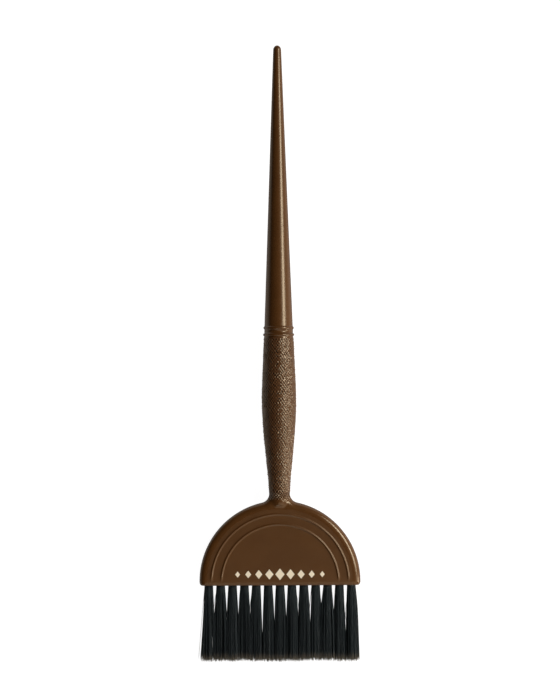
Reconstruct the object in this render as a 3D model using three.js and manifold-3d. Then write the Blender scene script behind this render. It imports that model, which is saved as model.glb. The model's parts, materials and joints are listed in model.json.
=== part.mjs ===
// A wide tint brush for hair colour: one moulded handle with a half-round head, and a row of
// bristle tufts held by flat anchor plates in blind holes along the head's straight edge.
//
// Millimetres. In the brush's own coordinates the head's circle is centred on the origin, +Y runs
// along the handle to the tip of the tail, the tufts point along -Y, and Z = 0 is the middle of
// the head's thickness. The brush group is moved so that the part's origin is the middle of the
// underside of the whole brush.

import * as THREE from 'three';
import { mergeVertices } from 'three/addons/utils/BufferGeometryUtils.js';
import Module from 'manifold-3d';

const wasm = await Module();
wasm.setup();

// ---- driving dimensions ----

const HEAD_RADIUS = 30.5;
const HEAD_THICKNESS = 6;
const HEAD_EDGE_Y = -1.5; // the straight edge, just past the circle's centre
const RIM_ROUND = 2.3; // how far in from the rim its rounding starts
const RIDGE_RADII = [22.2, 26];
const RIDGE_CENTRE_Y = -0.5; // the raised lines bend about a point just below the head's centre
const RIDGE_WIDTH = 0.85;
const RIDGE_HEIGHT = 0.3;
const RIDGE_END_Y = 0.3;

const NECK_FILLET = 3.5; // radius of the curve from the neck's side to the rim
const NECK_WEB_THICKNESS = 4.4;
const NECK_WEB_ROUND = 1;
const NECK_END_Y = 27; // the neck's rounded end, inside the head
const NECK_END_LENGTH = 4.2;
const NECK_RADIUS = 3.92;
const GRIP_RADIUS = 6.46;
// The grip's radius at its stations along the handle, from the neck to the lower bead.
const GRIP_STATIONS = [
  { y: NECK_END_Y + NECK_END_LENGTH, radius: NECK_RADIUS },
  { y: 35, radius: 4 },
  { y: 46, radius: 4.93 },
  { y: 57, radius: 5.95 },
  { y: 68.5, radius: GRIP_RADIUS },
  { y: 80, radius: 6.09 },
  { y: 92.9, radius: 5.55 },
];
const STEPS_PER_STATION = 4;

const BEAD_WIDTH = 0.9;
const BEADS = [
  { y: 93.4, radius: 5.92 },
  { y: 96, radius: 5.75 },
];
const BEAD_FOOT_RADIUS = 5.42; // of the groove between the two beads

const TAIL_START_RADIUS = 5.35;
const TAIL_END_RADIUS = 1.52;
const TAIL_TIP_Y = 203.1;
const TAIL_ROUND_LENGTH = 1.8;

const TUFT_COUNT = 13;
const TUFT_PITCH = 4.5;
const TUFT_FREE_LENGTH = 29.1;
const TUFT_ROOT_RADIUS = 1.6;
const TUFT_TIP_HALF_WIDTH = 2.1;
const TUFT_TIP_HALF_DEPTH = 3;
const TUFT_TIP_ROUND = 0.5;
const TUFT_END_SHARE = 0.7; // of its section, left at the fold and at the cut tips
const ROW_SPREAD = 0.9; // how far the outermost tuft leans out over its free length
const HOLE_RADIUS = 1.7;
const HOLE_DEPTH = 8;

const ANCHOR_SIZE = { width: 3.9, height: 2.2, thickness: 0.4 };
const ANCHOR_FOLD = 1.1; // bristle folded over the plate, between it and the hole's bottom
const ANCHOR_TURN = Math.PI / 4; // across the thickest walls, to keep them from splitting
const CLEARANCE = 0.06;

const SHAFT_SEGMENTS = 40;
const DISC_SEGMENTS = 96;
const HOLE_SEGMENTS = 16;
const TUFT_SEGMENTS = 14;
const ROUND_STEPS = 5;
const WEB_ROUND_STEPS = 2;
const WEB_ARC_STEPS = 6;

// ---- helpers ----

// A closed three.js geometry as a manifold solid, ready to join or cut.
function toSolid(geometry) {
  const bare = geometry.clone();
  bare.deleteAttribute('normal');
  bare.deleteAttribute('uv');
  const merged = mergeVertices(bare);
  return new wasm.Manifold(new wasm.Mesh({
    numProp: 3,
    vertProperties: new Float32Array(merged.attributes.position.array),
    triVerts: new Uint32Array(merged.index.array),
  }));
}

function toGeometry(solid) {
  const mesh = solid.getMesh();
  const geometry = new THREE.BufferGeometry();
  geometry.setAttribute('position', new THREE.BufferAttribute(mesh.vertProperties, 3));
  geometry.setIndex(new THREE.BufferAttribute(mesh.triVerts, 1));
  geometry.computeVertexNormals();
  return geometry;
}

// Profile points of a quarter ellipse that leaves the axis at axisY and reaches its full radius
// at sideY.
function roundEnd(radius, axisY, sideY) {
  const points = [];
  for (let step = 0; step <= ROUND_STEPS; step++) {
    const angle = (step / ROUND_STEPS) * (Math.PI / 2);
    points.push(new THREE.Vector2(radius * Math.sin(angle), sideY + (axisY - sideY) * Math.cos(angle)));
  }
  return points;
}

// Everything below a level, as a block to cut away.
function blockBelow(levelY) {
  const side = 4 * HEAD_RADIUS;
  return toSolid(new THREE.BoxGeometry(side, side, side).translate(0, levelY - side / 2, 0));
}

function tuftX(index) {
  return (index - (TUFT_COUNT - 1) / 2) * TUFT_PITCH;
}

function nodeName(piece, index) {
  return `${piece}_${String(index + 1).padStart(2, '0')}`;
}

// ---- the handle: tail, beads, grip and neck turned about Y, with the head joined on ----

function beadProfile(bead) {
  const points = [];
  for (let step = 0; step <= ROUND_STEPS; step++) {
    const angle = (step / ROUND_STEPS) * Math.PI;
    const rise = (bead.radius - BEAD_FOOT_RADIUS) * Math.sin(angle);
    points.push(new THREE.Vector2(BEAD_FOOT_RADIUS + rise, bead.y - (BEAD_WIDTH / 2) * Math.cos(angle)));
  }
  return points;
}

function shaftSolid() {
  const grip = new THREE.SplineCurve(GRIP_STATIONS.map(({ y, radius }) => new THREE.Vector2(radius, y)));
  const tailRound = roundEnd(TAIL_END_RADIUS, TAIL_TIP_Y, TAIL_TIP_Y - TAIL_ROUND_LENGTH).reverse();
  const tailStart = new THREE.Vector2(TAIL_START_RADIUS, BEADS[1].y + BEAD_WIDTH);
  const profile = [
    ...roundEnd(NECK_RADIUS, NECK_END_Y, NECK_END_Y + NECK_END_LENGTH).slice(0, -1),
    ...grip.getPoints(STEPS_PER_STATION * (GRIP_STATIONS.length - 1)),
    ...BEADS.flatMap(beadProfile),
    tailStart,
    ...tailRound,
  ];
  return toSolid(new THREE.LatheGeometry(profile, SHAFT_SEGMENTS));
}

// The whole disc of the head with its rounded rim, lying flat.
function discSolid() {
  const half = HEAD_THICKNESS / 2;
  const rim = new THREE.EllipseCurve(HEAD_RADIUS - RIM_ROUND, 0, RIM_ROUND, half, -Math.PI / 2, Math.PI / 2);
  const profile = [
    new THREE.Vector2(0, -half),
    ...rim.getPoints(2 * ROUND_STEPS),
    new THREE.Vector2(0, half),
  ];
  return toSolid(new THREE.LatheGeometry(profile, DISC_SEGMENTS).rotateX(Math.PI / 2));
}

// A ring that stands out of both faces of the head, with sloping sides, cut off where the
// raised line ends.
function ridgeSolid(radius) {
  const inner = radius - RIDGE_WIDTH / 2;
  const outer = radius + RIDGE_WIDTH / 2;
  const slope = RIDGE_WIDTH / 4;
  const face = HEAD_THICKNESS / 2;
  const top = face + RIDGE_HEIGHT;
  const profile = [
    new THREE.Vector2(inner, -face),
    new THREE.Vector2(inner + slope, -top),
    new THREE.Vector2(outer - slope, -top),
    new THREE.Vector2(outer, -face),
    new THREE.Vector2(outer, face),
    new THREE.Vector2(outer - slope, top),
    new THREE.Vector2(inner + slope, top),
    new THREE.Vector2(inner, face),
    new THREE.Vector2(inner, -face),
  ];
  const ring = new THREE.LatheGeometry(profile, DISC_SEGMENTS).rotateX(Math.PI / 2);
  return toSolid(ring.translate(0, RIDGE_CENTRE_Y, 0)).subtract(blockBelow(RIDGE_END_Y));
}

// The flat web whose two concave sides run from the neck down onto the rim. Each side is an arc
// that touches both the neck's side and the head's circle.
function neckWebSolid() {
  const centreX = NECK_RADIUS + NECK_FILLET;
  const centreDistance = HEAD_RADIUS + NECK_FILLET;
  const centreY = Math.sqrt(centreDistance ** 2 - centreX ** 2);
  const rimAngle = Math.atan2(centreY, centreX);
  const footX = HEAD_RADIUS * Math.cos(rimAngle);
  const footY = HEAD_RADIUS - 2 * RIM_ROUND;
  const outline = new THREE.Shape();
  outline.moveTo(-footX, footY);
  outline.lineTo(footX, footY);
  outline.absarc(centreX, centreY, NECK_FILLET, rimAngle - Math.PI, -Math.PI, true);
  outline.absarc(-centreX, centreY, NECK_FILLET, 0, -rimAngle, true);
  const web = new THREE.ExtrudeGeometry(outline, {
    depth: NECK_WEB_THICKNESS - 2 * NECK_WEB_ROUND,
    bevelThickness: NECK_WEB_ROUND,
    bevelSize: NECK_WEB_ROUND,
    bevelOffset: -NECK_WEB_ROUND,
    bevelSegments: WEB_ROUND_STEPS,
    curveSegments: WEB_ARC_STEPS,
  });
  return toSolid(web.translate(0, 0, NECK_WEB_ROUND - NECK_WEB_THICKNESS / 2));
}

// The plate's middle, measured up its hole from the head's edge.
function anchorHeight() {
  return HOLE_DEPTH - ANCHOR_FOLD - ANCHOR_SIZE.height / 2;
}

function anchorBlock(clearance) {
  return new THREE.BoxGeometry(
    ANCHOR_SIZE.width + 2 * clearance,
    ANCHOR_SIZE.height + 2 * clearance,
    ANCHOR_SIZE.thickness + 2 * clearance,
  );
}

// A blind hole for one tuft, with the two notches that its anchor plate bites into the walls.
function holeSolid(index) {
  const depth = 2 * HOLE_DEPTH; // half of it is below the edge, so that the mouth is open
  const hole = toSolid(new THREE.CylinderGeometry(HOLE_RADIUS, HOLE_RADIUS, depth, HOLE_SEGMENTS));
  const notch = anchorBlock(CLEARANCE).rotateY(ANCHOR_TURN).translate(0, anchorHeight(), 0);
  return hole.add(toSolid(notch)).translate([tuftX(index), HEAD_EDGE_Y, 0]);
}

function handleGeometry() {
  let head = discSolid();
  for (const radius of RIDGE_RADII) {
    head = head.add(ridgeSolid(radius));
  }
  head = head.subtract(blockBelow(HEAD_EDGE_Y));
  for (let index = 0; index < TUFT_COUNT; index++) {
    head = head.subtract(holeSolid(index));
  }
  return toGeometry(head.add(neckWebSolid()).add(shaftSolid()));
}

// ---- the tufts and their anchor plates ----

// One bundle, from the fold at the bottom of its hole (y > 0) to its cut tips (y < 0). It is
// round in the hole, then spreads to an oval and leans out towards the end of the row.
function tuftGeometry(index) {
  const lean = (ROW_SPREAD * tuftX(index)) / tuftX(TUFT_COUNT - 1);
  const fold = HOLE_DEPTH - CLEARANCE;
  const profile = [
    new THREE.Vector2(0, -TUFT_FREE_LENGTH),
    new THREE.Vector2(TUFT_END_SHARE, -TUFT_FREE_LENGTH),
    new THREE.Vector2(1, TUFT_TIP_ROUND - TUFT_FREE_LENGTH),
    new THREE.Vector2(1, -TUFT_FREE_LENGTH / 2),
    new THREE.Vector2(1, 0),
    new THREE.Vector2(1, fold - ANCHOR_FOLD / 2),
    new THREE.Vector2(TUFT_END_SHARE, fold),
    new THREE.Vector2(0, fold),
  ];
  const bundle = new THREE.LatheGeometry(profile, TUFT_SEGMENTS);
  const position = bundle.attributes.position;
  for (let corner = 0; corner < position.count; corner++) {
    const spread = Math.max(0, -position.getY(corner) / TUFT_FREE_LENGTH);
    const halfWidth = THREE.MathUtils.lerp(TUFT_ROOT_RADIUS, TUFT_TIP_HALF_WIDTH, spread);
    const halfDepth = THREE.MathUtils.lerp(TUFT_ROOT_RADIUS, TUFT_TIP_HALF_DEPTH, spread);
    position.setX(corner, position.getX(corner) * halfWidth + lean * spread);
    position.setZ(corner, position.getZ(corner) * halfDepth);
  }
  const gap = anchorBlock(CLEARANCE).rotateY(ANCHOR_TURN).translate(0, anchorHeight(), 0);
  return toGeometry(toSolid(bundle).subtract(toSolid(gap)));
}

// ---- materials ----

function brownPlastic() {
  return new THREE.MeshStandardMaterial({ color: 0x51351f, roughness: 0.38, metalness: 0 });
}

function darkNylon() {
  return new THREE.MeshStandardMaterial({ color: 0x1b1f20, roughness: 0.55, metalness: 0 });
}

function anchorBrass() {
  return new THREE.MeshStandardMaterial({ color: 0xb08d4a, roughness: 0.35, metalness: 1 });
}

// ---- the brush ----

function namedMesh(name, geometry, material) {
  const mesh = new THREE.Mesh(geometry, material);
  mesh.name = name;
  return mesh;
}

function bristleRow() {
  const row = new THREE.Group();
  row.position.y = HEAD_EDGE_Y;
  for (let index = 0; index < TUFT_COUNT; index++) {
    const tuft = namedMesh(nodeName('tuft', index), tuftGeometry(index), darkNylon());
    tuft.position.x = tuftX(index);
    const anchor = namedMesh(nodeName('anchor', index), anchorBlock(0), anchorBrass());
    anchor.position.set(tuftX(index), anchorHeight(), 0);
    anchor.rotation.y = ANCHOR_TURN;
    row.add(tuft, anchor);
  }
  return row;
}

const brush = new THREE.Group();
brush.add(namedMesh('handle', handleGeometry(), brownPlastic()), bristleRow());
brush.position.set(0, -(TAIL_TIP_Y + HEAD_EDGE_Y - TUFT_FREE_LENGTH) / 2, GRIP_RADIUS);

const group = new THREE.Group();
group.add(brush);

export default group;
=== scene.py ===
"""Looks of a wide tint brush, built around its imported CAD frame.

Shapes are worked out in millimetres in the brush's own coordinates: the centre of the head's
circle is the origin, +Y runs along the handle to the tip of the tail, the bristles point along
-Y, and Z = 0 is the middle of the head's thickness. place() turns them into the frame's metres.
"""

import json
import math

import bmesh
import bpy
import numpy as np
from mathutils import Matrix, Vector
from mathutils.geometry import delaunay_2d_cdt


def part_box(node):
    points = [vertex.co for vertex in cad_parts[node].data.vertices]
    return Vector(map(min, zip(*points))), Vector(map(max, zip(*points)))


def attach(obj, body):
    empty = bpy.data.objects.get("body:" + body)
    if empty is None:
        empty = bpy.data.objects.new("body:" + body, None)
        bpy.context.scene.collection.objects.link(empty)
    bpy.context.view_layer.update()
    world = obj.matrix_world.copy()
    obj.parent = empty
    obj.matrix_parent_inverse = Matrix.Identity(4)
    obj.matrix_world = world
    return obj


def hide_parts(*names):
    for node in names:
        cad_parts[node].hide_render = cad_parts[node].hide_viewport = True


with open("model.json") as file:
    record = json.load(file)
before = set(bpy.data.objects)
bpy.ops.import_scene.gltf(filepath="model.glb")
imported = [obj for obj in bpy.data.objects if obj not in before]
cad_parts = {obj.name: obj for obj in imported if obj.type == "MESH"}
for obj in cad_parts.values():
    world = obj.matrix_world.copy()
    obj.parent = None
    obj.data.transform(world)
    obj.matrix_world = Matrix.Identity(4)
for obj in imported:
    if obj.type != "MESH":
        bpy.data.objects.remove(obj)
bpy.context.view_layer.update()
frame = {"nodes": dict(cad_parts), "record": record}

MM = 0.001

# ---- what the frame says, in millimetres ----

handle_low, handle_high = (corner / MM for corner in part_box("handle"))
panel = next(m for m in frame["record"]["mounts"] if m["name"] == "front_panel")
EDGE_DROP = 1.5  # the straight edge is this far past the centre of the head's circle
AXIS_Z = (handle_low.z + handle_high.z) / 2
CENTRE_Y = handle_low.y + EDGE_DROP
HEAD_RADIUS = (handle_high.x - handle_low.x) / 2
HEAD_HALF = panel["pos_m"][2] / MM - AXIS_Z
GRIP_RADIUS = (handle_high.z - handle_low.z) / 2
TAIL_TIP_Y = handle_high.y - CENTRE_Y
EDGE_Y = -EDGE_DROP

TUFTS = sorted(name for name in frame["nodes"] if name.startswith("tuft_"))
ANCHORS = sorted(name for name in frame["nodes"] if name.startswith("anchor_"))


def anchor_centre(name):
    """The middle of an anchor plate in brush coordinates."""
    low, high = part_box(name)
    return (low + high) / (2 * MM) - Vector((0, CENTRE_Y, AXIS_Z))


HOLE_X = [anchor_centre(name).x for name in ANCHORS]
ANCHOR_Y = anchor_centre(ANCHORS[0]).y
BRISTLE_TIP_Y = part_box(TUFTS[0])[0].y / MM - CENTRE_Y

# ---- the handle's own dimensions ----

RIM_ROUND = 2.8
RIM_POWER = 2.6  # over 2, the rounded rim is a little squarer than an ellipse
NECK_RIM_POWER = 2.0  # of the rim where it runs up the fillets into the round neck
EDGE_ROUND = 0.9  # how far the straight edge's rounding reaches in from the faces
EDGE_RUN = 1.4  # how far it reaches along Y
RIDGE_RADII = (22.2, 26.0)
RIDGE_CENTRE_Y = -0.5
RIDGE_HALF_WIDTH = 0.55
RIDGE_HEIGHT = 0.32
RIDGE_END_Y = 0.3
RIDGE_FADE = 1.6  # the length over which a ridge sinks into the face at its ends

NECK_RADIUS = 3.92
NECK_FILLET = 3.5
NECK_END_Y = 28.1  # the end of the neck's shape inside the head
NECK_END_POWER = 4.0  # over 2, the neck's end is blunter than a round one
NECK_SIDE_Y = 31.2  # where the neck's rounded end reaches its full radius
NECK_BLEND = 0.7  # height over which the neck's end melts into the head's face
GRIP_STATIONS = (  # place along Y and radius
    (NECK_SIDE_Y, NECK_RADIUS),
    (35.0, 4.0),
    (46.0, 4.93),
    (57.0, 5.95),
    (68.5, GRIP_RADIUS),
    (80.0, 6.09),
    (92.9, 5.55),
)
BEADS = ((93.4, 5.92), (96.0, 5.75))
BEAD_HALF_WIDTH = 0.5
GROOVE_RADIUS = 5.42
TAIL_START = (96.9, 5.35)  # place along Y and radius, as for the beads
TAIL_END = (201.3, 1.52)  # where the tip's rounding starts

HOLE_RADIUS = 1.7
HOLE_DEPTH = 8.0
HOLE_CHAMFER = 0.15

# ---- how finely the handle is divided ----

SHAFT_COLUMNS = 54  # of the smooth tail and neck
TAIL_ROWS = 30
BEAD_STEPS = 10
TAIL_ROUND_STEPS = 8
TEXTURE_SPLIT = 4  # the grip has this many columns for each of the tail's
FILLET_STEPS = 12
RIM_STEPS = 46
RIDGE_RINGS = 14
ROUND_RINGS = 16
EDGE_ROWS = 4
HOLE_COLUMNS = 32

# ---- the grip's pebbled texture ----

TEXTURE_START_Y = 33.4
TEXTURE_END_Y = 92.4
TEXTURE_START_FADE = 0.7  # lengths over which the pebbles rise at the two ends of the texture
TEXTURE_END_FADE = 0.5
PEBBLE_PITCH_X = 1.03  # round the grip, measured from its front line
PEBBLE_PITCH_Y = 1.4  # two staggered rows
PEBBLE_HEIGHT = 0.38  # from the pits to the points, before the pebbles are made uneven
PEBBLE_DRIFT = 1.15  # how far the pebbles wander from their lattice, in radians of its waves
PEBBLE_UNEVENNESS = 0.9  # how much their heights differ, as a share of the height
PEBBLE_END_Y = 30.3  # where the pebbles have died out on the neck
PEBBLE_END_FADE = 2.0  # the length over which they do
ROWS_PER_PITCH = 6  # mesh rows for each PEBBLE_PITCH_Y
HALF_PEBBLE_COLUMNS = 3  # mesh columns for about half of each PEBBLE_PITCH_X

# ---- bristles ----

HAIRPINS = 210  # filaments folded in half in each hole
FILAMENT_RADIUS = 0.072
FILAMENT_SIDES = 5
ROOT_RADIUS = 1.56
TIP_HALF_WIDTH = 2.45
TIP_HALF_DEPTH = 2.9
TRIM_DEPTH = 1.8  # the cut ends lie within this length of the longest
TIP_TAPER = 0.55  # a filament's last ring, as a share of its radius
SEED = 20


def place(points):
    """Brush coordinates in millimetres, as an array, to the frame's metres."""
    return (np.asarray(points, float) + (0.0, CENTRE_Y, AXIS_Z)) * MM


def full_turn(count):
    """Evenly spaced angles, once round."""
    return np.arange(count) * 2 * np.pi / count


def smoothstep(low, high, value):
    t = np.clip((value - low) / (high - low), 0.0, 1.0)
    return t * t * (3 - 2 * t)


# ---- mesh building ----


class Shell:
    """Collects vertices and faces of one piece, and welds the seams at the end."""

    def __init__(self):
        self.points = []
        self.faces = []
        self.count = 0
        self.values = {}  # name: (indices, numbers), stored on the points for the material

    def add(self, points):
        """Adds an array of points and returns their indices in the same layout."""
        points = np.asarray(points, float)
        flat = points.reshape(-1, 3)
        indices = self.count + np.arange(len(flat)).reshape(points.shape[:-1])
        self.points.append(flat)
        self.count += len(flat)
        return indices

    def quads(self, grid, wrap=False):
        """Quads between neighbouring rows and columns of a grid of indices."""
        if wrap:
            grid = np.concatenate([grid, grid[:, :1]], axis=1)
        corners = (grid[:-1, :-1], grid[:-1, 1:], grid[1:, 1:], grid[1:, :-1])
        self.faces.extend(np.stack(corners, axis=-1).reshape(-1, 4).tolist())

    def fan(self, ring, centre):
        """Triangles from a closed ring of indices to one point."""
        middle = int(self.add(centre))
        for a, b in zip(ring, np.roll(ring, -1)):
            self.faces.append((int(a), int(b), middle))

    def piece(self, name, weld=0.002):
        """The finished Blender object, welded, with its faces pointing out."""
        mesh = bpy.data.meshes.new(name)
        mesh.from_pydata(place(np.concatenate(self.points)).tolist(), [], self.faces)
        for key, (indices, numbers) in self.values.items():
            column = np.zeros(self.count, np.float32)
            column[np.ravel(indices)] = np.ravel(numbers)
            mesh.attributes.new(key, "FLOAT", "POINT").data.foreach_set("value", column)
        work = bmesh.new()
        work.from_mesh(mesh)
        if weld:
            bmesh.ops.remove_doubles(work, verts=work.verts, dist=weld * MM)
            bmesh.ops.dissolve_degenerate(work, edges=work.edges, dist=weld * MM)
        bmesh.ops.recalc_face_normals(work, faces=work.faces)
        for face in work.faces:
            face.smooth = True
        work.to_mesh(mesh)
        work.free()
        made = bpy.data.objects.new(name, mesh)
        bpy.context.scene.collection.objects.link(made)
        return made


# ---- the handle's shape ----


def grip_radius(y):
    """The grip's radius at a height, a smooth curve through its stations."""
    heights, radii = np.array(GRIP_STATIONS).T
    slopes = np.gradient(radii, heights)
    slopes[0] = 0.0
    index = np.clip(np.searchsorted(heights, y) - 1, 0, len(heights) - 2)
    span = heights[index + 1] - heights[index]
    t = np.clip((y - heights[index]) / span, 0.0, 1.0)
    rise = radii[index + 1] - radii[index]
    start, end = slopes[index] * span, slopes[index + 1] * span
    return (
        radii[index]
        + start * t
        + (3 * rise - 2 * start - end) * t**2
        + (start + end - 2 * rise) * t**3
    )


def fillet_centre():
    """Centre of the arc that touches the neck's right side and the head's circle."""
    x = NECK_RADIUS + NECK_FILLET
    return x, math.sqrt((HEAD_RADIUS + NECK_FILLET) ** 2 - x**2)


JOIN_Y = fillet_centre()[1]  # the shaft's first ring, where the fillets leave the neck


def outline_distance(x, y):
    """How far outside the head's outline a point is; negative inside."""
    centre_x, centre_y = fillet_centre()
    x = np.abs(x)
    from_centre_x, from_centre_y = x - centre_x, y - centre_y
    beside_arc = (from_centre_y < 0) & (from_centre_x * centre_y < from_centre_y * centre_x)
    on_neck = y >= centre_y
    disc = np.hypot(x, np.maximum(y, 0.0)) - HEAD_RADIUS
    arc = NECK_FILLET - np.hypot(from_centre_x, from_centre_y)
    return np.where(on_neck, x - NECK_RADIUS, np.where(beside_arc, arc, disc))


def plate_height(x, y):
    """Half the head's thickness, falling to nothing round its rim."""
    share = np.clip(outline_distance(x, y) / RIM_ROUND + 1.0, 0.0, 1.0)
    power = RIM_POWER + (NECK_RIM_POWER - RIM_POWER) * smoothstep(NECK_END_Y - 3.0, NECK_SIDE_Y, y)
    return HEAD_HALF * (1.0 - share**power) ** (1 / power)


def neck_height(x, y):
    """The round neck's height over the middle plane, with its rounded end inside the head."""
    along = np.clip((NECK_SIDE_Y - y) / (NECK_SIDE_Y - NECK_END_Y), 0.0, 1.0)
    radius = grip_radius(np.maximum(y, NECK_SIDE_Y))
    radius = radius * (1.0 - along**NECK_END_POWER) ** (1 / NECK_END_POWER)
    return np.sqrt(np.maximum(radius**2 - x**2, 0.0))


def ridge_height(x, y):
    """The two raised lines that follow the rim, sinking into the face at their ends."""
    radius = np.hypot(x, np.maximum(y - RIDGE_CENTRE_Y, 0.0))
    height = np.zeros_like(radius)
    for centre in RIDGE_RADII:
        across = np.clip(np.abs(radius - centre) / RIDGE_HALF_WIDTH, 0.0, 1.0)
        height += RIDGE_HEIGHT * np.cos(across * np.pi / 2) ** 2
    return height * smoothstep(RIDGE_END_Y, RIDGE_END_Y + RIDGE_FADE, y)


def head_height(x, y):
    """Height of the head's face over the middle plane, with neck and ridges."""
    plate, neck = plate_height(x, y), neck_height(x, y)
    soft = NECK_BLEND * smoothstep(JOIN_Y, JOIN_Y - 2.0, y) * smoothstep(0.0, 2.0, plate)
    soft = np.maximum(soft, 1e-6)
    overlap = np.maximum(soft - np.abs(plate - neck), 0.0) / soft
    return np.maximum(plate, neck) + overlap**2 * soft / 4 + ridge_height(x, y)


def head_rings():
    """Ring radii on the flat part of the face, close together on the ridges."""
    across = np.linspace(-RIDGE_HALF_WIDTH + 2 * RIDGE_CENTRE_Y, RIDGE_HALF_WIDTH, RIDGE_RINGS)
    ridges = [centre + offset for centre in RIDGE_RADII for offset in across]
    between = (0.0, 5.0, 10.0, 14.0, 17.0, 19.5, 24.1, HEAD_RADIUS - RIM_ROUND)
    return np.array(sorted([*ridges, *between]))


def half_outline():
    """Points of the right half of the head's outline, from the straight edge to the neck."""
    centre_x, centre_y = fillet_centre()
    rim_end = math.atan2(centre_y, centre_x)
    rim = np.linspace(0.0, rim_end, RIM_STEPS + 1)
    arc = np.linspace(rim_end - math.pi, -math.pi, FILLET_STEPS + 1)[1:-1]
    rows = [(HEAD_RADIUS, -(EDGE_DROP - EDGE_RUN) * share) for share in (1.0, 0.5)]
    rows += [(HEAD_RADIUS * math.cos(a), HEAD_RADIUS * math.sin(a)) for a in rim]
    rows += [
        (centre_x + NECK_FILLET * math.cos(a), centre_y + NECK_FILLET * math.sin(a))
        for a in arc
    ]
    return np.array(rows)


def head_sheet():
    """The front face of the head as a grid: one row per spoke, one column per ring."""
    right = half_outline()
    turn = np.linspace(0.0, np.pi, SHAFT_COLUMNS // 2 + 1)
    radius = grip_radius(JOIN_Y)
    neck = np.stack([radius * np.cos(turn), np.full_like(turn, JOIN_Y)], axis=1)
    ends = np.concatenate([right, neck, right[::-1] * (-1, 1)])
    rings = head_rings()
    share = np.sin(np.linspace(0.0, np.pi / 2, ROUND_RINGS + 1)[1:])
    spokes = []
    for x, y in ends:
        reach = abs(x) if y < 0 else math.hypot(x, y)
        outer = rings[-1] + (reach - rings[-1]) * share
        along = np.concatenate([rings, outer]) / reach
        straight = np.full_like(along, y)
        spokes.append(np.stack([x * along, straight if y < 0 else y * along], axis=1))
    flat = np.array(spokes)
    x, y = flat[..., 0], flat[..., 1]
    height = head_height(x, y)
    on_rim = slice(len(right), len(right) + len(neck))
    rim_height = np.zeros(len(ends))
    rim_height[on_rim] = radius * np.sin(turn)
    height[:, -1] = rim_height
    return np.stack([x, y, height], axis=-1)


def edge_rows(spoke):
    """Rows that round a face's edge over into the straight end, from its last spoke."""
    x, _, z = spoke.T
    side = np.sign(x[-1])
    out_x = (np.maximum(np.abs(x) - (HEAD_RADIUS - RIM_ROUND), 0.0) / RIM_ROUND) ** (RIM_POWER - 1)
    out_z = (np.abs(z) / HEAD_HALF) ** (RIM_POWER - 1) * np.sign(z)
    out_x, out_z = out_x / RIM_ROUND, out_z / HEAD_HALF
    length = np.hypot(out_x, out_z)
    rows = []
    for angle in np.linspace(0.0, np.pi / 2, EDGE_ROWS + 1)[1:]:
        inset = EDGE_ROUND * (1 - math.cos(angle))
        y = EDGE_Y + EDGE_RUN * (1 - math.sin(angle))
        row_x = x - side * inset * out_x / length
        row_z = z - inset * out_z / length
        rows.append(np.stack([row_x, np.full_like(x, y), row_z], axis=-1))
    return np.array(rows)


def circle(x, y, radius, count=HOLE_COLUMNS):
    """A ring of points about the line through x along Y."""
    turn = full_turn(count)
    return np.stack([x + radius * np.cos(turn), np.full(count, y), radius * np.sin(turn)], axis=-1)


def add_straight_end(shell, outline):
    """The flat straight end inside an outline of points, with the mouths of the holes cut out."""
    loops = [outline] + [circle(x, EDGE_Y, HOLE_RADIUS + HOLE_CHAMFER) for x in HOLE_X]
    points, edges = [], []
    for loop in loops:
        first = len(points)
        points += [Vector((p[0], p[2])) for p in loop]
        size = len(loop)
        edges += [(first + i, first + (i + 1) % size) for i in range(size)]
    flat, _, triangles, _, _, _ = delaunay_2d_cdt(points, edges, [], 1, 1e-5)
    corners = np.array([(p[0], EDGE_Y, p[1]) for p in flat])
    indices = shell.add(corners)
    for triangle in triangles:
        middle = corners[list(triangle)].mean(axis=0)
        if min(math.hypot(middle[0] - x, middle[2]) for x in HOLE_X) > HOLE_RADIUS + HOLE_CHAMFER / 2:
            shell.faces.append([int(indices[i]) for i in triangle])


def add_hole(shell, x):
    """One blind hole: chamfered mouth, straight wall and flat bottom."""
    bottom = EDGE_Y + HOLE_DEPTH
    rows = [
        circle(x, EDGE_Y, HOLE_RADIUS + HOLE_CHAMFER),
        circle(x, EDGE_Y + HOLE_CHAMFER, HOLE_RADIUS),
        circle(x, bottom, HOLE_RADIUS),
    ]
    grid = shell.add(rows)
    shell.quads(grid, wrap=True)
    shell.fan(grid[-1], (x, bottom, 0.0))


def add_head(shell):
    front = head_sheet()
    for flip in (1.0, -1.0):
        sheet = front * (1.0, 1.0, flip)
        right = edge_rows(sheet[0])
        left = edge_rows(sheet[-1])
        grid = np.concatenate([right[::-1], sheet, left])
        shell.quads(shell.add(grid))
        if flip > 0:
            front_edge = np.concatenate([right[-1][:0:-1], left[-1]])
    back_edge = (front_edge * (1.0, 1.0, -1.0))[-2:0:-1]
    add_straight_end(shell, np.concatenate([front_edge, back_edge]))
    for x in HOLE_X:
        add_hole(shell, x)


def lattice_noise(rng, rows, columns, cell_rows, cell_columns):
    """Smooth random values in -1..1 over a grid that wraps round, one value for each cell."""
    down, across = np.arange(rows) / cell_rows, np.arange(columns) / cell_columns
    count = columns // cell_columns
    coarse = rng.uniform(-1, 1, (rows // cell_rows + 2, count))
    row, column = down.astype(int), across.astype(int)
    down, across = smoothstep(0, 1, down % 1)[:, None], smoothstep(0, 1, across % 1)
    right = (column + 1) % count
    top = coarse[row][:, column] * (1 - across) + coarse[row][:, right] * across
    bottom = coarse[row + 1][:, column] * (1 - across) + coarse[row + 1][:, right] * across
    return top * (1 - down) + bottom * down


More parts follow.
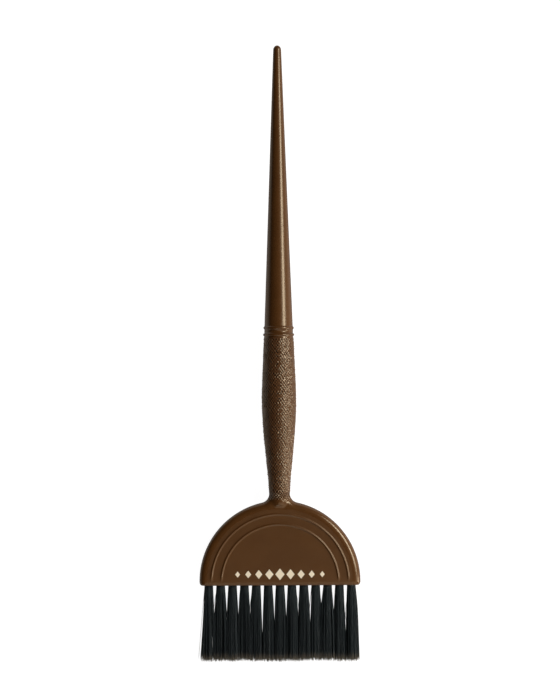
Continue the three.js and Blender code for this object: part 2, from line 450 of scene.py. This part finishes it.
def texture_rings():
    """The pebbled grip: staggered pointed bumps, each a little different, and how far each stands."""
    rng = np.random.default_rng(SEED)
    columns = SHAFT_COLUMNS * TEXTURE_SPLIT
    rows = round((TEXTURE_END_Y - TEXTURE_START_Y) / PEBBLE_PITCH_Y * ROWS_PER_PITCH) + 1
    y = np.linspace(TEXTURE_START_Y, TEXTURE_END_Y, rows)[:, None]
    turn = full_turn(columns)
    from_front = np.abs(np.arctan2(np.cos(turn), np.sin(turn)))  # the same on both sides, so no seam
    half_row, half_column = ROWS_PER_PITCH // 2, HALF_PEBBLE_COLUMNS
    drift_x = PEBBLE_DRIFT * lattice_noise(rng, rows, columns, 2 * half_row, 2 * half_column)
    drift_y = PEBBLE_DRIFT * lattice_noise(rng, rows, columns, 2 * half_row, 2 * half_column)
    height = 1.0 + PEBBLE_UNEVENNESS * lattice_noise(rng, rows, columns, half_row, half_column)
    waves = np.cos(2 * np.pi * grip_radius(y) * from_front / PEBBLE_PITCH_X + drift_x)
    waves = waves * np.cos(2 * np.pi * (y - TEXTURE_START_Y) / PEBBLE_PITCH_Y + drift_y)
    ends = smoothstep(TEXTURE_START_Y, TEXTURE_START_Y + TEXTURE_START_FADE, y)
    ends = ends * smoothstep(TEXTURE_END_Y, TEXTURE_END_Y - TEXTURE_END_FADE, y)
    raised = np.arcsin(waves) * 2 / np.pi * height * ends
    radius = grip_radius(y) + PEBBLE_HEIGHT / 2 * raised
    return np.stack([radius * np.cos(turn), y + 0 * turn, radius * np.sin(turn)], axis=-1), raised


def split_ring(shell, coarse, fine):
    """Joins a ring to one with TEXTURE_SPLIT times as many points."""
    half = TEXTURE_SPLIT // 2
    for column in range(len(coarse)):
        near, far = int(coarse[column]), int(coarse[(column + 1) % len(coarse)])
        steps = [int(fine[(column * TEXTURE_SPLIT + i) % len(fine)]) for i in range(TEXTURE_SPLIT + 1)]
        for i in range(TEXTURE_SPLIT):
            shell.faces.append((near if i < half else far, steps[i], steps[i + 1]))
        shell.faces.append((near, steps[half], far))


def tail_profile():
    """Height and radius from the grip's end over the two beads and along the tail to its tip."""
    smooth_y = TEXTURE_END_Y + 0.2
    rows = [(smooth_y, grip_radius(smooth_y))]
    for y, radius in BEADS:
        for angle in np.linspace(0.0, np.pi, BEAD_STEPS + 1):
            rise = (radius - GROOVE_RADIUS) * math.sin(angle)
            rows.append((y - BEAD_HALF_WIDTH * math.cos(angle), GROOVE_RADIUS + rise))
    rows += [tuple(row) for row in np.linspace(TAIL_START, TAIL_END, TAIL_ROWS)]
    for angle in np.linspace(0.0, np.pi / 2, TAIL_ROUND_STEPS + 1)[1:-1]:
        y = TAIL_END[0] + (TAIL_TIP_Y - TAIL_END[0]) * math.sin(angle)
        rows.append((y, TAIL_END[1] * math.cos(angle)))
    return rows


def add_shaft(shell):
    """The neck, the pebbled grip, the two beads and the tail."""
    neck_rows = np.linspace(JOIN_Y, TEXTURE_START_Y - 0.1, 2)
    neck = shell.add([circle(0.0, y, grip_radius(y), SHAFT_COLUMNS) for y in neck_rows])
    rings, raised = texture_rings()
    grip = shell.add(rings)
    tail = shell.add([circle(0.0, y, radius, SHAFT_COLUMNS) for y, radius in tail_profile()])
    shell.quads(neck, wrap=True)
    shell.quads(grip, wrap=True)
    shell.quads(tail, wrap=True)
    split_ring(shell, neck[-1], grip[0])
    split_ring(shell, tail[0], grip[-1])
    shell.fan(tail[-1], (0.0, TAIL_TIP_Y, 0.0))
    shell.values["raised"] = (grip, raised)


def make_handle():
    shell = Shell()
    add_head(shell)
    add_shaft(shell)
    return shell.piece("handle_moulding")


# ---- the bristles ----

PLATE_TURN = math.radians(45)  # each anchor plate stands at this angle across its hole
PLATE_HALF_HEIGHT = 1.1
PLATE_HALF_THICKNESS = 0.2
FOLD_SPREAD = 0.7  # the outermost filament folds this much higher than the innermost
SHOULDER_SPREAD = 0.35
FREE_SHARES = (0.05, 0.12, 0.22, 0.34, 0.5, 0.66, 0.82, 0.94, 1.0)  # a path's points below the head
MOUTH_DEPTH = 0.2  # a path's last point in its hole
CLUMPS = 6  # in each half of a bundle
CLUMP_PULL = 0.32  # how much of the way to its clump's middle a tip is drawn
SQUARENESS = 0.8  # how far a bundle's tips fill the corners of their rectangle
TIP_SCATTER_X = 0.1
TIP_SCATTER_Z = 0.2
STRAY_SHARE = 0.03  # of the filaments, whose tips are scattered further
STRAY_SCATTER = 0.7
BUNDLE_SWAY = 0.12  # how far the middle of a whole bundle stands off to one side
BUNDLE_TRIM = 0.2  # how much longer or shorter a whole bundle may be
NEIGHBOUR_SHARES = (0.28, 0.66)  # bundles meet between these shares of their free length
ROW_LEAN = 0.35  # how far the last tuft on the right leans out
FLARES = {0: (14, 1.2), 12: (8, 0.4)}  # tuft: filaments in each half, and how far they go


def sunflower(count, radius):
    """Points spread evenly over a disc."""
    index = np.arange(count)
    distance = radius * np.sqrt((index + 0.5) / count)
    angle = index * math.pi * (3 - math.sqrt(5))
    return distance * np.cos(angle), distance * np.sin(angle)


def bundle_seats(rng):
    """Where each hairpin's leg stands in the hole, as (along the plate, away from the plate)."""
    along, away = sunflower(2 * HAIRPINS, ROOT_RADIUS)
    keep = away > 0
    along, away = along[keep][:HAIRPINS], away[keep][:HAIRPINS]
    along = along + rng.normal(0, 0.02, len(along))
    return along, away


def plate_seat(along, away):
    """Offsets along an anchor plate and away from it, turned to X and Z."""
    cos, sin = math.cos(PLATE_TURN), math.sin(PLATE_TURN)
    return along * cos + away * sin, -along * sin + away * cos


def folded_rows(hole_x, along, away, side):
    """One leg of every hairpin in the hole, from the fold over the plate to the hole's mouth."""
    clear = PLATE_HALF_THICKNESS + FILAMENT_RADIUS
    pressed = clear + away * (ROOT_RADIUS - clear) / ROOT_RADIUS
    plate_top = ANCHOR_Y + PLATE_HALF_HEIGHT  # its side towards the hole's bottom
    stations = (
        (0.0 * pressed, plate_top + FILAMENT_RADIUS + FOLD_SPREAD * away / ROOT_RADIUS),
        (0.75 * pressed, plate_top - 0.1 + SHOULDER_SPREAD * away / ROOT_RADIUS),
        (pressed, np.full(len(along), ANCHOR_Y)),
        (away, np.full(len(along), EDGE_Y + MOUTH_DEPTH)),
    )
    rows = []
    for offset, y in stations:
        x, z = plate_seat(along, side * offset)
        rows.append(np.stack([hole_x + x, y, z], axis=-1))
    return rows


def free_rows(rng, tuft, x0, z0):
    """The rest of those legs, from just below the head to their cut tips."""
    hole_x = HOLE_X[tuft]
    tip_x, tip_z = tip_layout(rng, x0, z0)
    tip_x = tip_x + ROW_LEAN * max(hole_x, 0.0) / HOLE_X[-1]
    outward = flare(rng, tuft, tip_x)
    closes = np.where(tip_x < 0, *rng.uniform(*NEIGHBOUR_SHARES, 2))
    sway = rng.normal(0, BUNDLE_SWAY)
    uneven = TRIM_DEPTH * rng.random(len(x0)) ** 0.5
    tip_y = BRISTLE_TIP_Y + uneven + rng.uniform(-BUNDLE_TRIM, BUNDLE_TRIM)
    rows = []
    for share in FREE_SHARES:
        spread = np.tanh(share / closes) / np.tanh(1 / closes)
        x = hole_x + x0 + (tip_x - x0) * spread + sway * math.sin(math.pi * share)
        x = x + outward * share**2
        z = z0 + (tip_z - z0) * share**0.8
        y = EDGE_Y + (tip_y - EDGE_Y) * share
        rows.append(np.stack([x, y, z], axis=-1))
    return rows


def leg_paths(rng, tuft, along, away, side):
    """Paths of one leg of every hairpin, from the fold to the tip: (filament, point, xyz)."""
    folded = folded_rows(HOLE_X[tuft], along, away, side)
    free = free_rows(rng, tuft, *plate_seat(along, side * away))
    return np.stack(folded + free, axis=1)


def tip_layout(rng, x0, z0):
    """Where a bundle's filaments end: filling a rectangle, drawn together in small clumps."""
    corner = np.hypot(x0, z0) / np.maximum(np.abs(x0), np.abs(z0))
    fill = (1 + SQUARENESS * (corner - 1)) / ROOT_RADIUS
    tip_x, tip_z = x0 * fill * TIP_HALF_WIDTH, z0 * fill * TIP_HALF_DEPTH
    centre = rng.choice(len(x0), CLUMPS, replace=False)
    apart = np.hypot(tip_x[:, None] - tip_x[centre], tip_z[:, None] - tip_z[centre])
    nearest = centre[np.argmin(apart, axis=1)]
    tip_x = tip_x + CLUMP_PULL * (tip_x[nearest] - tip_x) + rng.normal(0, TIP_SCATTER_X, len(x0))
    tip_z = tip_z + CLUMP_PULL * (tip_z[nearest] - tip_z) + rng.normal(0, TIP_SCATTER_Z, len(x0))
    stray = rng.random(len(x0)) < STRAY_SHARE
    return tip_x + stray * rng.normal(0, STRAY_SCATTER, len(x0)), tip_z


def flare(rng, tuft, tip_x):
    """The outermost filaments of the row's two end tufts bend away from it."""
    shift = np.zeros_like(tip_x)
    if tuft in FLARES:
        count, reach = FLARES[tuft]
        outward = math.copysign(1.0, HOLE_X[tuft])
        outer = np.argsort(-outward * tip_x)[:count]
        shift[outer] = outward * reach * rng.uniform(0.3, 1.0, count)
    return shift


def tube_frames(paths):
    """Two directions across each path at each of its points."""
    heading = np.gradient(paths, axis=1)
    heading /= np.linalg.norm(heading, axis=-1, keepdims=True)
    reference = np.broadcast_to((math.cos(PLATE_TURN), 0.0, -math.sin(PLATE_TURN)), heading.shape)
    across = np.cross(heading, reference)
    across /= np.linalg.norm(across, axis=-1, keepdims=True)
    return across, np.cross(heading, across)


def make_tuft(tuft):
    """One bundle: every filament is one closed tube, folded round the anchor plate."""
    rng = np.random.default_rng(SEED + 1 + tuft)
    along, away = bundle_seats(rng)
    first = leg_paths(rng, tuft, along, away, 1.0)
    second = leg_paths(rng, tuft, along, away, -1.0)
    paths = np.concatenate([first[:, ::-1], second[:, 1:]], axis=1)
    across, over = tube_frames(paths)
    count, length, _ = paths.shape
    radius = FILAMENT_RADIUS * rng.uniform(0.85, 1.1, (count, 1, 1, 1))
    turn = full_turn(FILAMENT_SIDES)
    taper = np.ones(length)
    taper[[0, -1]] = TIP_TAPER
    offset = across[:, :, None] * np.cos(turn)[:, None] + over[:, :, None] * np.sin(turn)[:, None]
    rings = paths[:, :, None] + offset * radius * taper[:, None, None]

    shell = Shell()
    shares = np.concatenate([FREE_SHARES[::-1], np.zeros(length - 2 * len(FREE_SHARES)), FREE_SHARES])
    for filament in range(count):
        grid = shell.add(rings[filament])
        shell.quads(grid, wrap=True)
        for end, beside in ((0, 1), (-1, -2)):
            step = paths[filament, end] - paths[filament, beside]
            shell.fan(grid[end], paths[filament, end] + step / np.linalg.norm(step) * 0.05)
    points_each = length * FILAMENT_SIDES + 2
    along_each = np.concatenate([np.repeat(shares, FILAMENT_SIDES), [1.0, 1.0]])
    everything = np.arange(shell.count)
    shell.values["tone"] = (everything, np.repeat(rng.random(count), points_each))
    shell.values["share"] = (everything, np.tile(along_each, count))
    return shell.piece(f"bristles_{tuft + 1:02d}", weld=0)


# ---- materials ----


class Nodes:
    """A short way to write the node tree of a material or of the world."""

    def __init__(self, owner, shader="Principled BSDF"):
        owner.use_nodes = True
        self.owner = owner
        self.tree = owner.node_tree
        self.shader = self.tree.nodes[shader]

    def add(self, kind, **values):
        node = self.tree.nodes.new(kind)
        for name, value in values.items():
            setattr(node, name, value)
        return node

    def join(self, output, target):
        self.tree.links.new(output, target)

    def feed(self, target, value):
        """Sets an input socket to a number, or links it to an output."""
        if isinstance(value, bpy.types.NodeSocket):
            self.join(value, target)
        else:
            target.default_value = value

    def math(self, operation, first, second=0.0, third=0.0):
        node = self.add("ShaderNodeMath", operation=operation)
        for socket, value in zip(node.inputs, (first, second, third)):
            self.feed(socket, value)
        return node.outputs[0]

    def ramp(self, value, low, high, to_low=0.0, to_high=1.0, smooth=True):
        """Maps a value from one range to another and holds it at the ends."""
        node = self.add("ShaderNodeMapRange")
        node.interpolation_type = "SMOOTHSTEP" if smooth else "LINEAR"
        for socket, number in zip(node.inputs, (value, low, high, to_low, to_high)):
            self.feed(socket, number)
        return node.outputs[0]

    def mix(self, share, first, second):
        node = self.add("ShaderNodeMix", data_type="RGBA")
        self.feed(node.inputs["Factor"], share)
        self.feed(node.inputs[6], first)
        self.feed(node.inputs[7], second)
        return node.outputs[2]

    def split(self, vector):
        node = self.add("ShaderNodeSeparateXYZ")
        self.join(vector, node.inputs[0])
        return node.outputs["X"], node.outputs["Y"], node.outputs["Z"]

    def place(self):
        """The point's place in the frame, in metres."""
        return self.add("ShaderNodeTexCoord").outputs["Object"]

    def attribute(self, name):
        """A number that was stored on the mesh's points."""
        return self.add("ShaderNodeAttribute", attribute_name=name).outputs["Fac"]

    def noise(self, size_mm, detail=2.0, stretch=(1.0, 1.0, 1.0)):
        """Noise in 0..1 with features of about the given size."""
        mapping = self.add("ShaderNodeMapping")
        self.join(self.place(), mapping.inputs["Vector"])
        mapping.inputs["Scale"].default_value = stretch
        node = self.add("ShaderNodeTexNoise")
        self.join(mapping.outputs[0], node.inputs["Vector"])
        node.inputs["Scale"].default_value = 1.0 / (size_mm * MM)
        node.inputs["Detail"].default_value = detail
        return node.outputs["Fac"]

    def bump(self, height, depth_mm, strength=1.0, under=None):
        node = self.add("ShaderNodeBump")
        node.inputs["Strength"].default_value = strength
        node.inputs["Distance"].default_value = depth_mm * MM
        self.join(height, node.inputs["Height"])
        if under is not None:
            self.join(under, node.inputs["Normal"])
        return node.outputs[0]


def new_material(name):
    return Nodes(bpy.data.materials.new(name))


def linear(red, green, blue):
    """An sRGB colour in 0..255 as the linear RGBA that a shader takes."""
    channels = [c / 255 for c in (red, green, blue)]
    return (*[c / 12.92 if c <= 0.04045 else ((c + 0.055) / 1.055) ** 2.4 for c in channels], 1.0)


BROWN_DARK = (0.0745, 0.0292, 0.0078, 1.0)
BROWN_LIGHT = (0.082, 0.0326, 0.0088, 1.0)
BROWN_GRAIN = (0.105, 0.047, 0.016, 1.0)
# a greyer brown: painted sheen, standing in for the room's light reflected by the pebbled grip
BROWN_GREY_SHEEN = (0.092, 0.044, 0.022, 1.0)
# pale points and dark pits of the pebbles: painted highlight and painted shade
BROWN_PAINTED_GLINT = (0.135, 0.066, 0.027, 1.0)
BROWN_PAINTED_PIT_SHADE = (0.012, 0.005, 0.0022, 1.0)
BROWN_SHEEN = (1.0, 0.88, 0.66, 1.0)
GRIP_SHEEN_SHARE = 0.7  # how much of the painted grey sheen the grip has
PEBBLE_LIGHT_AND_SHADE = 0.95  # how much painted highlight the pebbles' points and painted shade their pits have
NECK_LIGHT_AND_SHADE = 0.6  # how strongly a pebble drawn on the neck takes the painted highlight and shade, where 1 is a modelled pebble's
FACE_REACH, RIM_REACH = 26.8, 28.2  # from the head's centre, where its dull face turns into its glossy rim

PRINT_CREAM = linear(234, 224, 202)
PRINT_LOW_Y, PRINT_HIGH_Y = 0.6, 5.0
PRINT_HALF_WIDTH = 18.0
PRINT_PITCH = 4.0
LOZENGE_HALF_HEIGHT = 2.2  # of the middle one
LOZENGE_LOSS = 0.26  # taken off that for each place away from the middle
LOZENGE_WIDTH = 0.8  # as a share of its height
PRINT_SOFTNESS = 0.04


def print_mask(nodes, x, y, z):
    """A plain printed row of lozenges on the front face, largest in the middle."""
    x = nodes.math("DIVIDE", x, MM)
    y = nodes.math("DIVIDE", y, MM)
    middle_y = CENTRE_Y + (PRINT_LOW_Y + PRINT_HIGH_Y) / 2
    index = nodes.math("ROUND", nodes.math("DIVIDE", x, PRINT_PITCH))
    off_x = nodes.math("ABSOLUTE", nodes.math("SUBTRACT", x, nodes.math("MULTIPLY", index, PRINT_PITCH)))
    off_y = nodes.math("ABSOLUTE", nodes.math("SUBTRACT", y, middle_y))
    half = nodes.math("MULTIPLY_ADD", nodes.math("ABSOLUTE", index), -LOZENGE_LOSS, LOZENGE_HALF_HEIGHT)
    reach = nodes.math("ADD", nodes.math("DIVIDE", off_x, LOZENGE_WIDTH), off_y)
    inside = nodes.ramp(nodes.math("SUBTRACT", reach, half), PRINT_SOFTNESS, -PRINT_SOFTNESS)
    in_row = nodes.math("LESS_THAN", nodes.math("ABSOLUTE", x), PRINT_HALF_WIDTH)
    on_front = nodes.math("GREATER_THAN", z, (AXIS_Z + HEAD_HALF / 2) * MM)
    return nodes.math("MULTIPLY", nodes.math("MULTIPLY", inside, in_row), on_front)


def neck_pebbles(nodes, x, y, z):
    """The grip's pebbles dying out on the neck's end, drawn where the head's mesh is too coarse."""
    from_front = nodes.math("ARCTAN2", x, nodes.math("SUBTRACT", z, AXIS_Z * MM))
    start = (CENTRE_Y + TEXTURE_START_Y) * MM
    down = nodes.math("MULTIPLY", nodes.math("SUBTRACT", y, start), 2 * math.pi / (PEBBLE_PITCH_Y * MM))
    around = 2 * math.pi * NECK_RADIUS / PEBBLE_PITCH_X
    across = nodes.math("COSINE", nodes.math("MULTIPLY", from_front, around))
    waves = nodes.math("MULTIPLY", across, nodes.math("COSINE", down))
    on_neck = nodes.ramp(nodes.math("ABSOLUTE", x), (NECK_RADIUS + 1.0) * MM, NECK_RADIUS * MM)
    below_grip = nodes.ramp(y, start + 0.5 * MM, start)
    end = (CENTRE_Y + PEBBLE_END_Y) * MM
    fade = nodes.ramp(y, end, end + PEBBLE_END_FADE * MM)
    share = nodes.math("MULTIPLY", fade, nodes.math("MULTIPLY", on_neck, below_grip))
    return nodes.math("MULTIPLY", waves, share)


def grip_mask(nodes, y):
    """1 on the pebbled part of the handle and 0 elsewhere."""
    start, end = (CENTRE_Y + TEXTURE_START_Y - 1.5) * MM, (CENTRE_Y + TEXTURE_END_Y) * MM
    past_neck = nodes.ramp(y, start, start + 2 * MM)
    before_beads = nodes.ramp(y, end + 0.2 * MM, end - 0.2 * MM)
    return nodes.math("MULTIPLY", past_neck, before_beads)


def face_mask(nodes, x, y):
    """1 on the head's face and 0 on its rounded rim."""
    from_centre = nodes.math("MAXIMUM", nodes.math("SUBTRACT", y, CENTRE_Y * MM), 0.0)
    squares = nodes.math("ADD", nodes.math("POWER", x, 2.0), nodes.math("POWER", from_centre, 2.0))
    return nodes.ramp(nodes.math("SQRT", squares), RIM_REACH * MM, FACE_REACH * MM)


def brown_colour(nodes, on_grip, neck_relief, ink):
    """Clouded, slightly grainy brown; on the grip a painted grey sheen, with painted highlights on the
    pebbles' points and painted shade in their pits.
    """
    colour = nodes.mix(nodes.ramp(nodes.noise(9.0, 3.0), 0.35, 0.65), BROWN_DARK, BROWN_LIGHT)
    colour = nodes.mix(nodes.ramp(nodes.noise(0.35, 2.0), 0.3, 0.8, 0.0, 0.2), colour, BROWN_GRAIN)
    # painted grey sheen over the grip, in place of its reflection of the room
    colour = nodes.mix(nodes.math("MULTIPLY", on_grip, GRIP_SHEEN_SHARE), colour, BROWN_GREY_SHEEN)
    # painted highlight on the pebbles' points and painted shade in their pits, by their height
    raised = nodes.math("MULTIPLY_ADD", neck_relief, NECK_LIGHT_AND_SHADE, nodes.attribute("raised"))
    colour = nodes.mix(nodes.ramp(raised, 0.0, 0.5, 0.0, PEBBLE_LIGHT_AND_SHADE), colour, BROWN_PAINTED_GLINT)
    colour = nodes.mix(nodes.ramp(raised, 0.0, -0.4, 0.0, PEBBLE_LIGHT_AND_SHADE), colour, BROWN_PAINTED_PIT_SHADE)
    return nodes.mix(ink, colour, PRINT_CREAM)


def brown_roughness(nodes, y, on_grip, on_face, ink):
    """Glossiest on the grip's pebbles, dullest on the print."""
    tail_start = (CENTRE_Y + TEXTURE_END_Y) * MM
    on_tail = nodes.ramp(y, tail_start, tail_start + 3 * MM)
    rough = nodes.ramp(nodes.noise(3.0, 4.0), 0.3, 0.7, 0.19, 0.25, smooth=False)
    for place, change in ((on_tail, 0.05), (on_grip, -0.1), (on_face, 0.14), (ink, 0.2)):
        rough = nodes.math("ADD", rough, nodes.math("MULTIPLY", place, change))
    return rough


def brown_relief(nodes, on_grip, neck_relief, ink):
    """Skin and flow marks all over, the print's edge, the neck's pebbles and the grip's grit."""
    skin = nodes.bump(nodes.noise(0.3, 3.0), 0.0018)
    flow = nodes.bump(nodes.noise(1.2, 2.0, (1.0, 0.12, 1.0)), 0.004, under=skin)
    printed = nodes.bump(ink, 0.02, under=flow)
    pebbled = nodes.bump(neck_relief, PEBBLE_HEIGHT / 2, under=printed)
    grit = nodes.math("MULTIPLY", nodes.noise(0.45, 1.0), on_grip)
    return nodes.bump(grit, 0.03, under=pebbled)


def brown_plastic():
    nodes = new_material("brown_plastic")
    x, y, z = nodes.split(nodes.place())
    on_grip = grip_mask(nodes, y)
    on_face = face_mask(nodes, x, y)
    neck_relief = neck_pebbles(nodes, x, y, z)
    ink = print_mask(nodes, x, y, z)
    nodes.join(brown_colour(nodes, on_grip, neck_relief, ink), nodes.shader.inputs["Base Color"])
    nodes.join(brown_roughness(nodes, y, on_grip, on_face, ink), nodes.shader.inputs["Roughness"])
    nodes.join(brown_relief(nodes, on_grip, neck_relief, ink), nodes.shader.inputs["Normal"])
    nodes.shader.inputs["IOR"].default_value = 1.49
    nodes.shader.inputs["Specular IOR Level"].default_value = 0.59
    nodes.shader.inputs["Specular Tint"].default_value = BROWN_SHEEN
    return nodes.owner


NYLON_DARK = (0.0022, 0.0035, 0.0045, 1.0)
NYLON_LIGHT = (0.0084, 0.0115, 0.014, 1.0)
NYLON_CUT = linear(98, 91, 79)
NYLON_SHEEN = (0.76, 0.92, 1.0, 1.0)


def dark_nylon():
    nodes = new_material("dark_nylon")
    colour = nodes.mix(nodes.attribute("tone"), NYLON_DARK, NYLON_LIGHT)
    near_tip = nodes.ramp(nodes.attribute("share"), 0.9, 1.0, 0.0, 0.9)
    colour = nodes.mix(near_tip, colour, NYLON_CUT)
    nodes.join(colour, nodes.shader.inputs["Base Color"])
    rough = nodes.ramp(nodes.noise(0.6, 2.0, (1.0, 0.2, 1.0)), 0.3, 0.7, 0.4, 0.52, smooth=False)
    nodes.join(rough, nodes.shader.inputs["Roughness"])
    nodes.shader.inputs["IOR"].default_value = 1.53
    nodes.shader.inputs["Specular IOR Level"].default_value = 0.35
    nodes.shader.inputs["Specular Tint"].default_value = NYLON_SHEEN
    nodes.join(nodes.bump(nodes.noise(0.15, 1.0, (1.0, 0.1, 1.0)), 0.004), nodes.shader.inputs["Normal"])
    return nodes.owner


BRASS_DARK = linear(186, 152, 88)
BRASS_LIGHT = linear(214, 184, 120)


def anchor_metal():
    nodes = new_material("anchor_metal")
    drawn = nodes.noise(0.2, 2.0, (1.0, 12.0, 1.0))
    colour = nodes.mix(drawn, BRASS_DARK, BRASS_LIGHT)
    nodes.join(colour, nodes.shader.inputs["Base Color"])
    nodes.shader.inputs["Metallic"].default_value = 1.0
    nodes.join(nodes.ramp(drawn, 0.3, 0.7, 0.25, 0.4), nodes.shader.inputs["Roughness"])
    nodes.join(nodes.bump(drawn, 0.005), nodes.shader.inputs["Normal"])
    return nodes.owner


# ---- the stage: floor, light and camera ----

BELLY_Y = 68.5  # the grip's fattest point, which the brush rests on
SWEEP_FLAT_RADIUS = 1200.0
SWEEP_BEND_RADIUS = 900.0
SWEEP_WALL = 1500.0
SWEEP_SIDES = 96
FLOOR_GAP = 0.05  # and PEBBLE_HEIGHT are between the floor and the grip's mean surface
TIP_STRAYS = 0.35  # room for the lowest bristle ends, past TIP_HALF_DEPTH
FLOOR_DARK = linear(120, 120, 120)
FLOOR_LIGHT = linear(124, 124, 124)


def floor_paint():
    """A pale paint on a lit sweep, bright enough to keep the brush's shadow faint."""
    nodes = new_material("floor_paint")
    colour = nodes.mix(nodes.noise(60.0, 2.0), FLOOR_DARK, FLOOR_LIGHT)
    nodes.join(colour, nodes.shader.inputs["Base Color"])
    nodes.shader.inputs["Roughness"].default_value = 0.8
    nodes.shader.inputs["Specular IOR Level"].default_value = 0.1
    nodes.shader.inputs["Emission Color"].default_value = (1.0, 1.0, 1.0, 1.0)
    nodes.shader.inputs["Emission Strength"].default_value = 0.985
    return nodes.owner


def make_sweep():
    """A floor that bends up into a wall all round, under the two places where the brush rests."""
    bend = np.linspace(0.0, np.pi / 2, 13)
    rows = [(radius, 0.0) for radius in np.linspace(0.0, SWEEP_FLAT_RADIUS, 7)[1:-1]]
    rows += [
        (SWEEP_FLAT_RADIUS + SWEEP_BEND_RADIUS * math.sin(a), SWEEP_BEND_RADIUS * (1 - math.cos(a)))
        for a in bend
    ]
    rows.append((rows[-1][0], rows[-1][1] + SWEEP_WALL))
    turn = full_turn(SWEEP_SIDES)
    shell = Shell()
    grid = shell.add([
        np.stack([r * np.cos(turn), r * np.sin(turn), np.full_like(turn, z)], axis=-1)
        for r, z in rows
    ])
    shell.quads(grid, wrap=True)
    shell.fan(grid[0], (0.0, 0.0, 0.0))
    sweep = shell.piece("sweep", weld=0)
    sweep.data.transform(Matrix.Translation((0.0, -CENTRE_Y * MM, -AXIS_Z * MM)))
    touch_y = BELLY_Y + CENTRE_Y
    tip_y, tip_z = BRISTLE_TIP_Y + CENTRE_Y, AXIS_Z - TIP_HALF_DEPTH - TIP_STRAYS
    slope = math.atan2(tip_z, touch_y - tip_y)
    sweep.location = (0.0, touch_y * MM, -(FLOOR_GAP + PEBBLE_HEIGHT) * MM)
    sweep.rotation_euler = (-slope, 0.0, 0.0)
    sweep.visible_diffuse = False
    sweep.visible_glossy = False
    sweep.visible_shadow = False
    sweep.data.materials.append(floor_paint())
    return sweep


def area_light(name, stands_at, aim, size, brightness, colour=(1.0, 1.0, 1.0)):
    """A softbox with its long side level; its brightness is in units of a white wall's."""
    data = bpy.data.lights.new(name, "AREA")
    data.shape = "RECTANGLE"
    data.size, data.size_y = size
    data.energy = brightness * math.pi * size[0] * size[1]
    data.color = colour
    light = bpy.data.objects.new(name, data)
    bpy.context.scene.collection.objects.link(light)
    back = (Vector(stands_at) - Vector(aim)).normalized()
    side = Vector((0.0, 1.0, 0.0)).cross(back).normalized()
    facing = Matrix((side, back.cross(side), back)).transposed().to_4x4()
    light.matrix_world = Matrix.Translation(stands_at) @ facing
    light.visible_camera = False
    return light


WORLD_TINT = (1.0, 0.9, 0.82, 1.0)
WARM = (1.0, 0.95, 0.88)
WARMER = (1.0, 0.93, 0.82)
HEAD_AIM = (0.0, -0.08, 0.0)
KEY_AIM = (0.0, 0.35, 0.0)  # past the tail's tip


def make_world():
    """The room's dim light: grey from the floor except right under the brush, darker above."""
    world = bpy.data.worlds.new("studio")
    bpy.context.scene.world = world
    nodes = Nodes(world, "Background")
    x, _, z = nodes.split(nodes.add("ShaderNodeTexCoord").outputs["Generated"])
    below = nodes.ramp(x, -1.0, 1.0, 0.58, 0.8)
    above = nodes.ramp(x, 0.0, 1.0, 0.0, 0.3)
    around = nodes.ramp(z, -0.2, 0.2, below, above)
    nodes.join(nodes.ramp(z, -0.95, -0.65, 0.12, around), nodes.shader.inputs["Strength"])
    nodes.shader.inputs["Color"].default_value = WORLD_TINT


def make_lights():
    make_world()
    area_light("key_strip", (0.80, 0.35, 0.75), KEY_AIM, (0.36, 0.83), 13.8, WARM)
    area_light("near_box", (0.25, -0.13, 0.06), HEAD_AIM, (0.07, 0.07), 20.0, WARMER)
    area_light("front_fill", (0.1, -1.2, 0.22), HEAD_AIM, (1.4, 0.35), 1.6)
    area_light("edge_fill", (0.08, -0.28, 0.28), HEAD_AIM, (0.34, 0.3), 0.85, WARM)


VIEW_LENGTH = 265.4  # of the picture's long side, at the brush
VIEW_CENTRE = (0.48, 87.6)  # in brush coordinates
CAMERA_HEIGHT = 1000.0
CAMERA_ROLL = math.radians(-0.31)


def make_camera():
    data = bpy.data.cameras.new("camera")
    data.sensor_width = 36.0
    data.lens = data.sensor_width * CAMERA_HEIGHT / VIEW_LENGTH
    camera = bpy.data.objects.new("camera", data)
    bpy.context.scene.collection.objects.link(camera)
    x, y = VIEW_CENTRE
    camera.location = place((x, y, CAMERA_HEIGHT))
    camera.rotation_euler = (0.0, 0.0, CAMERA_ROLL)
    bpy.context.scene.camera = camera


# ---- everything together ----


def dress_handle():
    handle = make_handle()
    handle.data.materials.append(brown_plastic())
    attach(handle, "root")
    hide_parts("handle")


def dress_tufts():
    nylon = dark_nylon()
    for index, node in enumerate(TUFTS):
        bristles = make_tuft(index)
        bristles.data.materials.append(nylon)
        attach(bristles, "root")
        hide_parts(node)


def dress_anchors():
    metal = anchor_metal()
    for node in ANCHORS:
        plate = frame["nodes"][node]
        plate.data.materials.clear()
        plate.data.materials.append(metal)


def set_view():
    bpy.context.scene.view_settings.view_transform = "Standard"


make_camera()
make_lights()
make_sweep()
dress_handle()
dress_tufts()
dress_anchors()
set_view()
